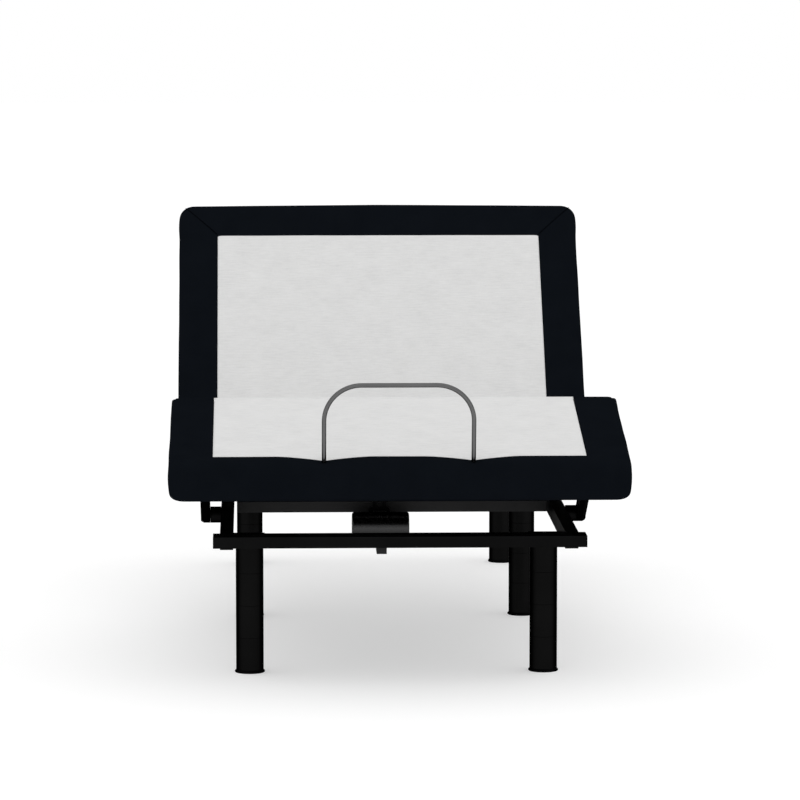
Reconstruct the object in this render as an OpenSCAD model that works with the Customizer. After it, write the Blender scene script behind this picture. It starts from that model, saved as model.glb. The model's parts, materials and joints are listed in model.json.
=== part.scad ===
// Adjustable bed base, shown with the head section and the leg section raised.
// Frame: X across the bed, +Y towards the head end, +Z up, origin on the floor under the middle of its box.

/* [Deck] */
// Width of the upholstered deck
deck_w = 979; // [880:1:1100]
// Thickness of each upholstered section
deck_t = 80; // [76:1:100]
// Length of the head section, from its hinge to its outer end
head_len = 700; // [560:1:800]
// Length of the fixed seat section, hinge to hinge
seat_len = 435.6; // [380:1:520]
// Length of the thigh section, hinge to hinge
thigh_len = 420; // [360:1:460]
// Length of the calf section, from the knee hinge to the foot end
calf_len = 488.7; // [440:1:560]
// Width of the dark border along the sides
border_w = 93; // [70:1:110]
// Width of the dark border along the head end
head_border_w = 102; // [80:1:120]
// Width of the dark border along the foot end
foot_border_w = 58; // [50:1:70]
// Plan radius of the outer deck corners
corner_r = 32; // [15:1:60]
// Rounding of the upholstery's long edges
edge_r = 15; // [8:1:18]
// Thickness of the foam pad on the board
pad_t = 23; // [18:1:30]

/* [Pose] */
// Angle of the head section above flat
head_angle = 48.16; // [0:0.5:60]
// Angle of the thigh section above flat
thigh_angle = 22.78; // [0:0.5:35]
// Bend of the knee hinge per degree of the thigh
knee_ratio = 1.474; // [1.3:0.01:1.6]

/* [Frame] */
// Clear width between the two side rails
rail_gap = 708; // [640:1:760]
// Width of a side rail
rail_w = 28; // [20:1:40]
// Height of a side rail
rail_h = 35.7; // [28:0.1:50]
// Depth of the front and rear bars
bar_d = 64.3; // [50:0.1:80]
// Height of the bars and cross tubes
bar_h = 23.9; // [18:0.1:30]
// Length of the front and rear bars, without their caps
bar_len = 787.8; // [740:0.1:840]
// Depth of the two inner cross tubes
cross_d = 60; // [40:1:70]
// Wall of every steel tube
tube_wall = 2; // [1.2:0.1:3]
// Height of the underside of the front bar above the floor
bar_bottom = 304.8; // [250:0.1:360]
// Front face of the foot actuator's cross tube, behind the front bar's front face
foot_cross_y = 582; // [560:1:620]
// Row of the middle legs
mid_row_y = 1049; // [1000:1:1100]
// Row of the front legs
front_row_y = 248; // [150:1:320]
// Row of the rear legs
rear_row_y = 1926; // [1850:1:1950]
// Distance between the two legs of a row
leg_track = 638.6; // [560:0.1:660]
// Sideways place of each pair of headboard bolt holes in the rear bar
headboard_x = 330; // [280:1:350]
// Distance between the two bolt holes of a pair
headboard_pitch = 60; // [40:1:80]
// Diameter of a headboard bolt hole
headboard_hole_d = 8.5; // [6.5:0.1:12]

/* [Legs] */
// Diameter of a leg
leg_d = 60; // [45:1:66]
// Number of stacked leg segments
leg_segment_count = 4; // [1:1:6]
// Height of the plastic glide under a leg
glide_h = 6.5; // [4:0.5:12]
// Largest diameter of a glide
glide_d = 65.7; // [50:0.1:75]

/* [Steel under the deck] */
// Side of the square tubes under each section
sub_tube = 25; // [20:1:28]
// Diameter of the section hinge pins
hinge_d = 10; // [8:0.5:14]
// Length of a calf link between its two axes
link_len = 280; // [270:1:290]
// Width of a calf link
link_w = 36; // [24:1:40]
// Thickness of a calf link
link_t = 21; // [8:1:22]
// Diameter of the pin at a calf link's upper end
link_pin_d = 12; // [8:0.5:14]

/* [Actuators] */
// Diameter of the motor cover
motor_d = 63; // [50:1:66]
// Length of the motor cover
motor_len = 127; // [90:1:150]
// Diameter of the actuator's outer tube
act_tube_d = 30; // [26:1:32]
// Length of the outer tube beyond the trunnion
act_tube_len = 200; // [190:1:205]
// Diameter of the push rod
rod_d = 20; // [18:0.5:22]
// Diameter of the pin at the rod end
rod_pin_d = 12; // [8:0.5:14]
// Sideways place of the foot actuator
foot_act_x = -28; // [-120:1:60]
// Sideways place of the head actuator
head_act_x = 110; // [60:1:180]
// Radius of the thigh crank at the pin
thigh_crank_r = 118; // [110:1:124]
// Radius of the head crank at the pin
head_crank_r = 125; // [118:1:132]

/* [Mattress retainer] */
// Diameter of the retainer bar
retainer_d = 9.5; // [8:0.5:13]
// Overall width of the retainer bar
retainer_w = 326; // [260:1:420]
// Height of the bar's centre line above the deck
retainer_rise = 162; // [100:1:200]
// Radius of the retainer's bends, on the centre line
retainer_bend_r = 79; // [30:1:100]

/* [Hidden] */
$fn = 96;

// Clearances
run_fit = 0.05;                 // radial, shaft in bore
soft_gap = 0.4;                 // around soft pieces
part_gap = 0.3;                 // between pieces that only pass each other

// Heights, with every section flat
frame_top = bar_bottom + bar_h;
deck_gap = 6.3;
deck_bottom = frame_top + deck_gap;
deck_top = deck_bottom + deck_t;
board_t = 12;
board_top = deck_top - pad_t;
board_bottom = board_top - board_t;
sub_top = board_bottom - 3;
sub_bottom = sub_top - sub_tube;

// Hinges: section hinges lie just under the boards, the knee hinge lower
hinge_depth = pad_t + board_t + 1;
knee_depth = deck_t - 20;
hinge_z = deck_top - hinge_depth;
knee_z = deck_top - knee_depth;
thigh_y = 857.8;
head_y = thigh_y + seat_len;
knee_y = thigh_y - thigh_len;
knee_bend = thigh_angle * knee_ratio;
calf_slope = knee_bend - thigh_angle;
lug_r = hinge_d / 2 + 4;
lug_t = 5;

// Gaps at the hinges, from the hinge to the end of the board, and of the upholstery
board_back = lug_r + 2;
soft_back_head = 16.5;
soft_back_thigh = 10;
soft_back_knee = 8;

// Deck outline
half_w = deck_w / 2;
pad_half = half_w - border_w;
skin_t = 19.5;
board_half = half_w - skin_t;
timber_w = 24;
timber_h = 35;

// Frame
rail_in = rail_gap / 2;
rail_out = rail_in + rail_w;
rail_bottom = frame_top - rail_h;
rear_bar_y = rear_row_y - bar_d / 2;
frame_back = rear_bar_y + bar_d;
mid_cross_y = mid_row_y - cross_d / 2;
plate_t = 8;
front_plate_t = 4;              // the front row bolts to the rails only
plate_w = 66;
leg_top = bar_bottom - plate_t;
collar_h = 7;
leg_x = leg_track / 2;
segment_h = (leg_top - glide_h - collar_h) / leg_segment_count;
leg_rows = [front_row_y, mid_row_y, rear_row_y];
stud_d = 10;
function plate_top(y) = y == front_row_y ? leg_top + front_plate_t : bar_bottom;
function stud_top(y) = plate_top(y) + (y == front_row_y ? 0 : tube_wall);

// Tubes under the sections
sub_out = rail_out + 15;
sub_in = sub_out - sub_tube;
tube_back = 14;

// Calf links
link_y = 475;
link_z = 315;
link_angle = 27.18;             // above level, in the modelled pose
link_x = sub_out + 19.5;
slot_depth = 30.8;                // slot below the knee hinge's level
slot_from_knee = 248.9;
slot_travel = 16;
slot_spare = 1;
boss_d = 36;
slot_plate_t = 5;

// Actuators: the trunnion is the origin, the tube runs along +Y
foot_trunnion_z = 249;
head_trunnion_z = 284;
trunnion_out = 24;              // in front of its cross tube
trunnion_d = 10;
motor_back = 56.5;
motor_up = 37.5;
gearbox_w = 38;
ear_t = 6;
ear_x = gearbox_w / 2 + 3;
tube_bore_d = act_tube_d - 4;
screw_d = 12;
nut_len = 25;
eye_w = 24;
eye_r = rod_pin_d / 2 + 7;
crank_gap = eye_w + 2;
crank_t = 6;
head_crank_spare = 2.4;         // each side of the pin across the slot
thigh_crank_spare = 1.2;
rod_len = 190;
head_crank_lean = -22;          // from straight down, towards the head, when flat
thigh_crank_lean = 17.5;
foot_trunnion_y = foot_cross_y - trunnion_out;
head_trunnion_y = mid_cross_y - trunnion_out;

function turn(p, a) = [p[0] * cos(a) - p[1] * sin(a), p[0] * sin(a) + p[1] * cos(a)];
function reach(p, q) = sqrt(pow(p[0] - q[0], 2) + pow(p[1] - q[1], 2));
function down(a) = [sin(a), -cos(a)];

// Rod end places in the modelled pose, as [y, z]
head_pin = [head_y, hinge_z] + head_crank_r * down(head_crank_lean + head_angle);
foot_pin = [thigh_y, hinge_z] + thigh_crank_r * down(thigh_crank_lean - thigh_angle);
head_trunnion = [head_trunnion_y, head_trunnion_z];
foot_trunnion = [foot_trunnion_y, foot_trunnion_z];
head_tilt = atan2(head_pin[1] - head_trunnion[1], head_pin[0] - head_trunnion[0]);
foot_tilt = atan2(foot_pin[1] - foot_trunnion[1], foot_pin[0] - foot_trunnion[0]);
head_reach = reach(head_pin, head_trunnion);
foot_reach = reach(foot_pin, foot_trunnion);

// The knee hinge and the foot end in the modelled pose set the origin
knee_now = [thigh_y, hinge_z] + turn([-thigh_len, knee_z - hinge_z], -thigh_angle);
toe = turn([edge_r - calf_len, deck_top - knee_z - edge_r], calf_slope);
box_front = knee_now[0] + toe[0] - edge_r;
origin_y = (box_front + frame_back) / 2;

// Placing
module placed() { translate([0, -origin_y, 0]) children(); }
module about(y, z, a) { translate([0, y, z]) rotate([a, 0, 0]) translate([0, -y, -z]) children(); }
module head_pose() { placed() about(head_y, hinge_z, head_angle) children(); }
module thigh_pose() { placed() about(thigh_y, hinge_z, -thigh_angle) children(); }
module calf_pose() { thigh_pose() about(knee_y, knee_z, knee_bend) children(); }
module both_sides() { for (s = [0, 1]) mirror([s, 0, 0]) children(); }
module at_actuator(x, trunnion, tilt) {
    placed() translate([x, trunnion[0], trunnion[1]]) rotate([tilt, 0, 0]) children();
}

// Stock shapes
module box(x, y, z) { translate([x[0], y[0], z[0]]) cube([x[1] - x[0], y[1] - y[0], z[1] - z[0]]); }
module tube_x(x, y, z) {
    difference() {
        box(x, y, z);
        box([x[0] - 1, x[1] + 1],
            [y[0] + tube_wall, y[1] - tube_wall],
            [z[0] + tube_wall, z[1] - tube_wall]);
    }
}
module tube_y(x, y, z) {
    difference() {
        box(x, y, z);
        box([x[0] + tube_wall, x[1] - tube_wall],
            [y[0] - 1, y[1] + 1],
            [z[0] + tube_wall, z[1] - tube_wall]);
    }
}
module rod_x(r, x) { translate([x[0], 0, 0]) rotate([0, 90, 0]) cylinder(r = r, h = x[1] - x[0]); }
module rod_y(r, y) { translate([0, y[0], 0]) rotate([-90, 0, 0]) cylinder(r = r, h = y[1] - y[0]); }
module at(y, z) { translate([0, y, z]) children(); }
// A square with four round corners, made of plain shapes so that it stays exact
module round_rect(a, b, r) {
    for (x = [a[0] + r, b[0] - r], y = [a[1] + r, b[1] - r]) translate([x, y]) circle(r);
    translate([a[0] + r, a[1]]) square([b[0] - a[0] - 2 * r, b[1] - a[1]]);
    translate([a[0], a[1] + r]) square([b[0] - a[0], b[1] - a[1] - 2 * r]);
}
// A profile drawn in Y and Z, pushed out along X
module across(x) { translate([x[0], 0, 0]) rotate([90, 0, 90]) linear_extrude(x[1] - x[0]) children(); }

// ---- Frame ----
module steel() { color([0.035, 0.036, 0.04]) children(); }
module front_bar() {
    placed() steel() tube_x([-bar_len / 2, bar_len / 2], [0, bar_d], [bar_bottom, frame_top]);
}
module stud_holes() {
    for (y = leg_rows, s = [-1, 1]) translate([s * leg_x, y, bar_bottom - 1 - plate_t])
        cylinder(d = stud_d + 1, h = plate_t + tube_wall + 2);
}
module rear_bar() {
    placed() steel() difference() {
        tube_x([-bar_len / 2, bar_len / 2], [rear_bar_y, frame_back], [bar_bottom, frame_top]);
        stud_holes();
        // The wall plate for a headboard bracket bolts to these holes
        for (x = [-1, 1], k = [-1, 1])
            translate([x * headboard_x + k * headboard_pitch / 2, 0, bar_bottom + bar_h / 2])
                rod_y(headboard_hole_d / 2, [frame_back - tube_wall - 1, frame_back + 1]);
    }
}
module side_rail() {
    tube_y([rail_in, rail_out], [bar_d, rear_bar_y], [rail_bottom, frame_top]);
}
module side_rails() { placed() steel() both_sides() side_rail(); }
module cross_tubes() {
    strap_t = 3;
    foot_half = rail_in - 6.5;
    placed() color([0.1, 0.102, 0.108]) {
        difference() {
            tube_x([-rail_in, rail_in], [mid_cross_y, mid_cross_y + cross_d], [bar_bottom, frame_top]);
            stud_holes();
        }
        tube_x([-foot_half, foot_half], [foot_cross_y, foot_cross_y + cross_d], [bar_bottom, frame_top]);
        // Straps join the foot actuator's tube to the rails
        both_sides() box([foot_half - 20, rail_in + 12],
            [foot_cross_y + 10, foot_cross_y + cross_d - 10],
            [frame_top, frame_top + strap_t]);
    }
}
module leg_plates() {
    placed() steel() difference() {
        for (y = leg_rows) both_sides()
            box([leg_x - plate_w / 2, rail_in], [y - plate_w / 2, y + plate_w / 2], [leg_top, plate_top(y)]);
        stud_holes();
    }
}
module bar_end_caps() {
    cap_t = 2.5;
    lip = 10;
    fit = 0.1;
    placed() color([0.03, 0.03, 0.032]) for (y = [0, rear_bar_y]) both_sides() {
        box([bar_len / 2, bar_len / 2 + cap_t], [y, y + bar_d], [bar_bottom, frame_top]);
        inset = tube_wall + fit;
        box([bar_len / 2 - lip, bar_len / 2 + 1],
            [y + inset, y + bar_d - inset],
            [bar_bottom + inset, frame_top - inset]);
    }
}

// ---- Legs ----
// A segment is a short tube with chamfered rims, so each joint shows as a fine groove
module leg_segments() {
    rim = 0.35;
    wall = 3;
    r = leg_d / 2;
    placed() color([0.02, 0.02, 0.022]) for (y = leg_rows, s = [-1, 1], k = [0 : leg_segment_count - 1])
        translate([s * leg_x, y, glide_h + k * segment_h]) rotate_extrude()
            polygon([[r - wall, 0], [r - rim, 0], [r, rim], [r, segment_h - rim],
                [r - rim, segment_h], [r - wall, segment_h]]);
}
module leg_collars() {
    placed() color([0.02, 0.02, 0.022]) for (y = leg_rows, s = [-1, 1])
        translate([s * leg_x, y, leg_top - collar_h]) difference() {
            cylinder(d = leg_d - 2, h = collar_h);
            translate([0, 0, -1]) cylinder(d = stud_d + 2 * run_fit, h = collar_h + 2);
        }
}
module leg_glides() {
    foot_r = glide_d / 2;
    placed() color([0.02, 0.02, 0.02]) for (y = leg_rows, s = [-1, 1]) translate([s * leg_x, y, 0])
        rotate_extrude() polygon([[0, 0], [foot_r - 1.5, 0], [foot_r, 1.5], [foot_r, 3],
            [leg_d / 2, glide_h], [0, glide_h]]);
}
module leg_studs() {
    nut_r = 9;
    placed() color([0.6, 0.6, 0.62]) for (y = leg_rows, s = [-1, 1]) translate([s * leg_x, y, 0]) {
        translate([0, 0, leg_top - 20]) cylinder(d = stud_d, h = 20 + stud_top(y) - leg_top);
        translate([0, 0, leg_top - collar_h - 8]) cylinder(r = nut_r, h = 8, $fn = 6);
    }
}

// ---- Fixed supports on the rails ----
module rest_bumpers() {
    placed() color([0.05, 0.05, 0.05]) for (y = [thigh_y - 150, head_y + 190, head_y + 560]) both_sides()
        translate([rail_out - 6, y, frame_top]) cylinder(d = 11, h = sub_bottom - frame_top - part_gap);
}
module seat_posts() {
    post = 40;
    placed() steel() for (y = [thigh_y + 70, head_y - 110]) both_sides()
        tube_y([rail_in + 6, sub_out], [y, y + post], [frame_top, sub_bottom]);
}

// ---- Upholstered sections, drawn flat between two stations along Y ----
module pad(y) {
    across([-pad_half, pad_half]) round_rect([y[0], board_top + soft_gap], [y[1], deck_top], edge_r / 2);
}
// The border wraps the sides, and the end where end_w is above 0
// dir is -1 for the foot end and 1 for the head end
module border(y, end_w, dir) {
    wall = end_w > 0 ? skin_t : -50;
    inner = [dir > 0 ? y[0] - 50 : y[0] + end_w, dir > 0 ? y[1] - end_w : y[1] + 50];
    hollow = [dir > 0 ? y[0] - 50 : y[0] + wall, dir > 0 ? y[1] - wall : y[1] + 50];
    difference() {
        intersection() {
            across([-half_w, half_w]) round_rect([y[0], deck_bottom], [y[1], deck_top], edge_r);
            translate([0, 0, deck_bottom - 1]) linear_extrude(deck_t + 2)
                round_rect([-half_w, end_w > 0 && dir > 0 ? y[0] - 100 : y[0] - (end_w > 0 ? 0 : 100)],
                    [half_w, end_w > 0 && dir < 0 ? y[1] + 100 : y[1] + (end_w > 0 ? 0 : 100)], corner_r);
            across([-half_w, half_w]) translate([y[0], deck_bottom]) square([y[1] - y[0], deck_t]);
            rotate([90, 0, 0]) translate([0, 0, -y[1] - 60]) linear_extrude(y[1] - y[0] + 120)
                round_rect([-half_w, deck_bottom], [half_w, deck_top], edge_r);
        }
        box([-pad_half - soft_gap, pad_half + soft_gap],
            inner - [dir > 0 ? 0 : soft_gap, dir > 0 ? -soft_gap : 0],
            [board_top - 1, deck_top + 1]);
        box([-board_half - soft_gap, board_half + soft_gap],
            hollow,
            [deck_bottom - 1, board_top + soft_gap]);
    }
}
module board(y, end_dir) {
    box([-board_half, board_half], y, [board_bottom, board_top]);
    both_sides() box([board_half - timber_w, board_half], y, [board_bottom - timber_h, board_bottom]);
    if (end_dir != 0) {
        e = end_dir > 0 ? y[1] - timber_w : y[0];
        box([-board_half, board_half], [e, e + timber_w], [board_bottom - timber_h, board_bottom]);
    }
}
navy = [0.04, 0.055, 0.075];
pale = [0.83, 0.83, 0.83];
film_board = [0.05, 0.048, 0.045];
head_end = head_y + head_len;
foot_end = knee_y - calf_len;
module seat_board() { placed() color(film_board) board([thigh_y + board_back, head_y - board_back], 0); }
module seat_border() {
    placed() color(navy) border([thigh_y + soft_back_thigh, head_y - soft_back_head], 0, 1);
}
module seat_pad() { placed() color(pale) pad([thigh_y + soft_back_thigh, head_y - soft_back_head]); }
module head_board() { head_pose() color(film_board) board([head_y + board_back, head_end - skin_t], 1); }
module head_border() {
    head_pose() color(navy) border([head_y + soft_back_head, head_end], head_border_w, 1);
}
module head_pad() {
    head_pose() color(pale) pad([head_y + soft_back_head, head_end - head_border_w - soft_gap]);
}
module thigh_board() {
    thigh_pose() color(film_board) board([knee_y + soft_back_knee, thigh_y - board_back], 0);
}
module thigh_border() {
    thigh_pose() color(navy) border([knee_y + soft_back_knee, thigh_y - soft_back_thigh], 0, 1);
}
module thigh_pad() {
    thigh_pose() color(pale) pad([knee_y + soft_back_knee, thigh_y - soft_back_thigh]);
}
module calf_board() {
    calf_pose() color(film_board) difference() {
        board([foot_end + skin_t, knee_y - soft_back_knee], -1);
        retainer_legs(retainer_d / 2 + 0.5, deck_top + 1);
        // The end timber is notched round the sockets
        retainer_legs(socket_r + part_gap, board_bottom);
    }
}
module calf_border() {
    calf_pose() color(navy) difference() {
        border([foot_end, knee_y - soft_back_knee], foot_border_w, -1);
        retainer_legs(retainer_d / 2 + 0.5, deck_top + 1);
    }
}
module calf_pad() {
    calf_pose() color(pale) pad([foot_end + foot_border_w + soft_gap, knee_y - soft_back_knee]);
}

// ---- Steel under the sections ----
// A hinge lug is a plate on a side tube whose round end carries the hinge bore
module lug(x, hy, hz, dir) {
    reach_y = 60;
    neck = min(hz, sub_top - lug_r);
    difference() {
        across(x) {
            translate([hy, hz]) circle(lug_r);
            translate([dir > 0 ? hy : hy - reach_y, sub_bottom]) square([reach_y, sub_tube]);
            if (hz > neck) translate([hy - lug_r, neck]) square([2 * lug_r, hz - neck]);
        }
        at(hy, hz) rod_x(hinge_d / 2 + run_fit, [x[0] - 1, x[1] + 1]);
    }
}
module side_tubes(y) { both_sides() tube_y([sub_in, sub_out], y, [sub_bottom, sub_top]); }
module outer_lug(hy, hz, dir) { both_sides() lug([sub_out, sub_out + lug_t], hy, hz, dir); }
module inner_lug(hy, hz, dir) { both_sides() lug([sub_in - lug_t, sub_in], hy, hz, dir); }
module hinge_pin(hy, hz) {
    head_t = 3;
    both_sides() at(hy, hz) {
        rod_x(hinge_d / 2, [sub_in - lug_t - part_gap - head_t, sub_out + lug_t + part_gap + head_t]);
        rod_x(hinge_d / 2 + 2.5, [sub_in - lug_t - part_gap - head_t, sub_in - lug_t - part_gap]);
        rod_x(hinge_d / 2 + 2.5, [sub_out + lug_t + part_gap, sub_out + lug_t + part_gap + head_t]);
    }
}
module seat_side_tubes() {
    placed() steel() {
        side_tubes([thigh_y + tube_back, head_y - tube_back]);
        outer_lug(head_y, hinge_z, -1);
        outer_lug(thigh_y, hinge_z, 1);
    }
}
module seat_cross_tubes() {
    placed() steel() for (y = [thigh_y + 150, head_y - 150])
        tube_x([-sub_in, sub_in], [y, y + sub_tube], [sub_bottom, sub_top]);
}
module seat_hinge_pins() {
    placed() color([0.6, 0.6, 0.62]) {
        hinge_pin(head_y, hinge_z);
        hinge_pin(thigh_y, hinge_z);
    }
}
module head_side_tubes() {
    head_pose() steel() {
        side_tubes([head_y + tube_back, head_end - 90]);
        inner_lug(head_y, hinge_z, 1);
    }
}
head_lift_y = head_y + 62;
thigh_lift_y = thigh_y - 62 - sub_tube;
module head_cross_tubes() {
    head_pose() steel() {
        for (y = [head_lift_y, head_y + 330, head_end - 90 - sub_tube])
            tube_x([-sub_in, sub_in], [y, y + sub_tube], [sub_bottom, sub_top]);
    }
}
module thigh_side_tubes() {
    thigh_pose() steel() {
        side_tubes([knee_y + tube_back, thigh_y - tube_back]);
        inner_lug(thigh_y, hinge_z, -1);
        outer_lug(knee_y, knee_z, 1);
    }
}
module thigh_cross_tubes() {
    thigh_pose() steel() for (y = [knee_y + 70, thigh_lift_y])
        tube_x([-sub_in, sub_in], [y, y + sub_tube], [sub_bottom, sub_top]);
}
module knee_hinge_pins() { thigh_pose() color([0.6, 0.6, 0.62]) hinge_pin(knee_y, knee_z); }
module calf_side_tubes() {
    calf_pose() steel() {
        side_tubes([foot_end + 80, knee_y - tube_back]);
        inner_lug(knee_y, knee_z, -1);
    }
}
module calf_cross_tubes() {
    calf_pose() steel() for (y = [foot_end + 80, foot_end + 290, knee_y - 90])
        tube_x([-sub_in, sub_in], [y, y + sub_tube], [sub_bottom, sub_top]);
}

// A crank is two plates under a lift tube; the rod end's pin rides in their slots
module crank_plate(hy, lift_y, r, lean, spare, reach_in, reach_out) {
    half = rod_pin_d / 2 + spare;
    rim = 9;
    difference() {
        hull() {
            translate([hy, hinge_z] + (r + reach_out) * down(lean)) circle(half + rim, $fn = 48);
            translate([hy, hinge_z] + (r - reach_in) * down(lean)) circle(half + rim, $fn = 48);
            translate([lift_y, sub_bottom - 3]) square([sub_tube, 3]);
        }
        hull() {
            translate([hy, hinge_z] + (r + reach_out) * down(lean)) circle(half, $fn = 48);
            translate([hy, hinge_z] + (r - reach_in) * down(lean)) circle(half, $fn = 48);
        }
    }
}
module crank(x, hy, lift_y, r, lean, spare, reach_in, reach_out) {
    for (s = [-1, 1]) translate([x + s * (crank_gap + crank_t) / 2, 0, 0])
        across([-crank_t / 2, crank_t / 2]) crank_plate(hy, lift_y, r, lean, spare, reach_in, reach_out);
}
module head_crank() {
    head_pose() steel() crank(head_act_x, head_y, head_lift_y, head_crank_r, head_crank_lean,
        head_crank_spare, 9, 8);
}
module thigh_crank() {
    thigh_pose() steel() crank(foot_act_x, thigh_y, thigh_lift_y, thigh_crank_r, thigh_crank_lean,
        thigh_crank_spare, 3, 9);
}

// ---- Calf links ----
link_bolt_d = 16;
link_ring_r = 12;
link_ring_t = 4;
// Each link swings on a boss on the rail, and its upper pin slides in a slot plate under the calf section
link_in = link_x - link_t / 2;
link_out = link_x + link_t / 2;
module link_pose() { placed() translate([0, link_y, link_z]) rotate([-link_angle, 0, 0]) children(); }
module calf_slot_plates() {
    y = knee_y - slot_from_knee;
    z = knee_z - slot_depth;
    r = link_pin_d / 2 + slot_spare;
    plate_half = slot_travel / 2 + 22;
    through = [sub_out - 1, sub_out + slot_plate_t + 1];
    calf_pose() steel() both_sides() difference() {
        box([sub_out, sub_out + slot_plate_t], [y - plate_half, y + plate_half], [z - 16, sub_top]);
        for (k = [-1, 1]) translate([0, y + k * slot_travel / 2, z]) rod_x(r, through);
        box(through, [y - slot_travel / 2, y + slot_travel / 2], [z - r, z + r]);
    }
}
module link_bosses() {
    placed() steel() both_sides() at(link_y, link_z) {
        rod_x(boss_d / 2, [rail_out, link_in - part_gap]);
        rod_x(link_bolt_d / 2, [link_in - 1, link_out]);
        rod_x(link_ring_r, [link_out - link_ring_t, link_out]);
    }
}
module link() {
    chamfer = 9;
    difference() {
        union() {
            rod_x(link_w / 2, [link_in, link_out]);
            translate([0, -link_len, 0]) rod_x(link_w / 2, [link_in, link_out]);
            box([link_in, link_out], [-link_len, 0], [-link_w / 2, link_w / 2]);
        }
        rod_x(link_bolt_d / 2 + run_fit, [link_in - 1, link_out + 1]);
        rod_x(link_ring_r + part_gap, [link_out - link_ring_t - part_gap, link_out + 1]);
        translate([0, -link_len, 0]) rod_x(link_pin_d / 2 + run_fit, [link_in - 1, link_out + 1]);
        // Outer edge cut back along the underside
        translate([link_out, 0, -link_w / 2]) rotate([0, 45, 0])
            box([-chamfer * 0.7, chamfer * 0.7], [-link_len - link_w, link_w], [-chamfer, chamfer]);
    }
}
module link_left() { link_pose() steel() mirror([1, 0, 0]) link(); }
module link_right() { link_pose() steel() link(); }
module link_pin() {
    head_t = 3;
    translate([0, -link_len, 0]) {
        rod_x(link_pin_d / 2, [sub_out + part_gap, link_out + part_gap + head_t]);
        rod_x(link_pin_d / 2 + 3, [link_out + part_gap, link_out + part_gap + head_t]);
    }
}
module link_pin_left() { link_pose() color([0.6, 0.6, 0.62]) mirror([1, 0, 0]) link_pin(); }
module link_pin_right() { link_pose() color([0.6, 0.6, 0.62]) link_pin(); }

// ---- Mattress retainer ----
retainer_x = -3;
retainer_y = foot_end + foot_border_w - 20;
leg_half = (retainer_w - retainer_d) / 2;
socket_z = board_bottom - 30;
socket_r = retainer_d / 2 + 2.5;
module retainer_legs(r, top) {
    for (s = [-1, 1]) translate([retainer_x + s * leg_half, retainer_y, socket_z - 20])
        cylinder(r = r, h = top - socket_z + 20);
}
module retainer_bar() {
    bar_top = deck_top + retainer_rise;
    b = retainer_bend_r;
    calf_pose() color([0.25, 0.25, 0.27]) translate([retainer_x, retainer_y, 0]) {
        for (s = [-1, 1]) {
            translate([s * leg_half, 0, socket_z]) cylinder(d = retainer_d, h = bar_top - b - socket_z);
            translate([s * (leg_half - b), 0, bar_top - b])
                rotate([90, 0, 0])
                    rotate([0, 0, s > 0 ? 0 : 90])
                        rotate_extrude(angle = 90) translate([b, 0]) circle(d = retainer_d);
        }
        at(0, bar_top) rod_x(retainer_d / 2, [b - leg_half, leg_half - b]);
    }
}
module retainer_sockets() {
    tall = board_bottom - socket_z;
    calf_pose() steel() for (s = [-1, 1])
        translate([retainer_x + s * leg_half, retainer_y, socket_z]) difference() {
            cylinder(r = socket_r, h = tall);
            translate([0, 0, -1]) cylinder(r = retainer_d / 2 + run_fit, h = tall + 2);
        }
}

// ---- Control box ----
// It hangs behind the centre cross tube; its sockets take the power lead and the two motor leads
module control_box() {
    x = [-230, -80];
    back = mid_cross_y + cross_d;
    depth = 100;
    z = [bar_bottom - 26, bar_bottom + 16];
    flange_t = 3;
    placed() color([0.03, 0.03, 0.032]) difference() {
        union() {
            box(x, [back, back + depth], z);
            box([x[0] + 15, x[1] - 15], [back - 45, back + 1], [bar_bottom - flange_t, bar_bottom]);
        }
        box([x[0] + 20, x[0] + 48], [back + depth - 16, back + depth + 1], [z[0] + 10, z[0] + 30]);
        for (k = [0, 1]) translate([30 * k, 0, 0])
            box([x[0] + 70, x[0] + 84], [back + depth - 12, back + depth + 1], [z[0] + 14, z[0] + 26]);
    }
}

// ---- Actuators ----
// A bracket holds an actuator's two trunnions in front of a cross tube and hooks over the tube
module bracket(x, cross_y, z) {
    rib_w = 8;
    rib_gap = 13;
    low = z + 21;
    shoulder = max(low + 2, bar_bottom - 4);
    wide = ear_x + ear_t;
    difference() {
        translate([x, cross_y, 0]) {
            rotate([90, 0, 0]) linear_extrude(5) polygon([[-wide, low], [wide, low], [wide, shoulder],
                [ear_x + 1, bar_bottom + 5], [ear_x + 1, bar_bottom + 9], [ear_x - 4, bar_bottom + 12],
                [4 - ear_x, bar_bottom + 12], [-ear_x - 1, bar_bottom + 9], [-ear_x - 1, bar_bottom + 5],
                [-wide, shoulder]]);
            for (s = [0, 1]) mirror([s, 0, 0]) {
                box([ear_x, ear_x + ear_t], [-trunnion_out - 12, -4], [z - 12, z + 52]);
                box([rib_gap / 2, rib_gap / 2 + rib_w], [-9, 0], [bar_bottom + 9, frame_top + 4]);
                box([rib_gap / 2, rib_gap / 2 + rib_w], [-9, 12], [frame_top, frame_top + 4]);
            }
        }
        translate([x, cross_y - trunnion_out, z]) rod_x(trunnion_d / 2 + run_fit, [-60, 60]);
    }
}
module actuator_brackets() {
    placed() color([0.12, 0.12, 0.125]) {
        bracket(foot_act_x, foot_cross_y, foot_trunnion_z);
        bracket(head_act_x, mid_cross_y, head_trunnion_z);
    }
}
module gearbox() {
    w = gearbox_w / 2;
    color([0.16, 0.16, 0.165]) difference() {
        union() {
            box([-w, w], [-84, 18], [-5, 20]);
            box([-w, w], [-16, 18], [-13, 0]);
            box([-9, 13.5], [-78, -22], [-21.7, 0]);
            box([-w, w], [-26, -14], [19, 62]);
            box([-15, 15], [-26, -14], [60, 67]);
            rod_x(trunnion_d / 2, [-ear_x - ear_t - 2, ear_x + ear_t + 2]);
        }
        at(-motor_back, motor_up) rod_x(motor_d / 2 + run_fit, [-w - 1, w + 1]);
    }
}
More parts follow.
